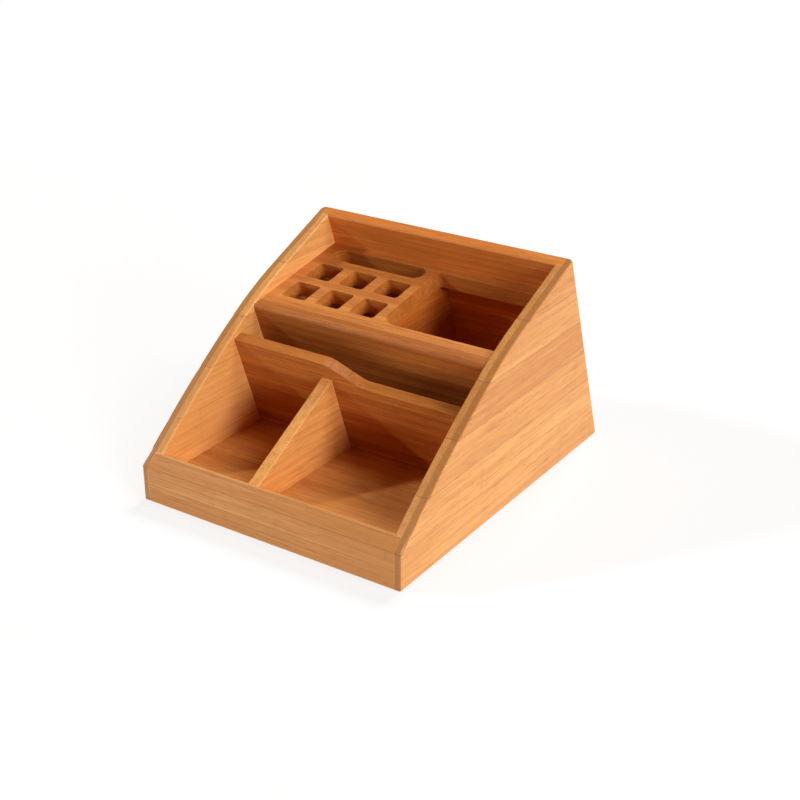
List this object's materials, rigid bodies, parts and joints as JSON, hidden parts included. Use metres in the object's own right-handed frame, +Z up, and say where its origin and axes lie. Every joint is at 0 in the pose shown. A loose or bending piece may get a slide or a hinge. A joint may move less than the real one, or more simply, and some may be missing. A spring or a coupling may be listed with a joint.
{
  "type": "desk organizer",
  "caption": "Sloping bamboo desk organizer with open front trays, a letter slot behind them, a plate of square pen holes, and a deep compartment at the back.",
  "frame": {"origin": "middle of the footprint, on the desk", "axes": "+Z up, +Y towards the high back, +X to the right of a person who sits at the low front"},
  "size_m": [0.18, 0.225, 0.1296],
  "materials": {
    "side_bamboo": "carbonised bamboo, fine straight grain, satin clear lacquer",
    "rail_bamboo": "carbonised bamboo, fine straight grain, satin clear lacquer",
    "plate_bamboo": "carbonised bamboo, fine straight grain, satin clear lacquer",
    "wall_bamboo": "carbonised bamboo, fine straight grain, satin clear lacquer",
    "floor_bamboo": "carbonised bamboo, fine straight grain, satin clear lacquer"
  },
  "bodies": {
    "root": {"front_rail": "rail_bamboo", "back_panel": "wall_bamboo", "bottom_panel": "floor_bamboo", "tall_divider": "wall_bamboo", "wavy_divider": "wall_bamboo", "pen_plate": "plate_bamboo", "centre_divider": "wall_bamboo", "pen_partition": "wall_bamboo", "left_side_stave_1": "side_bamboo", "left_side_stave_2": "side_bamboo", "left_side_stave_3": "side_bamboo", "left_side_stave_4": "side_bamboo", "left_side_stave_5": "side_bamboo", "left_side_stave_6": "side_bamboo", "right_side_stave_1": "side_bamboo", "right_side_stave_2": "side_bamboo", "right_side_stave_3": "side_bamboo", "right_side_stave_4": "side_bamboo", "right_side_stave_5": "side_bamboo", "right_side_stave_6": "side_bamboo"}
  },
  "joints": []
}
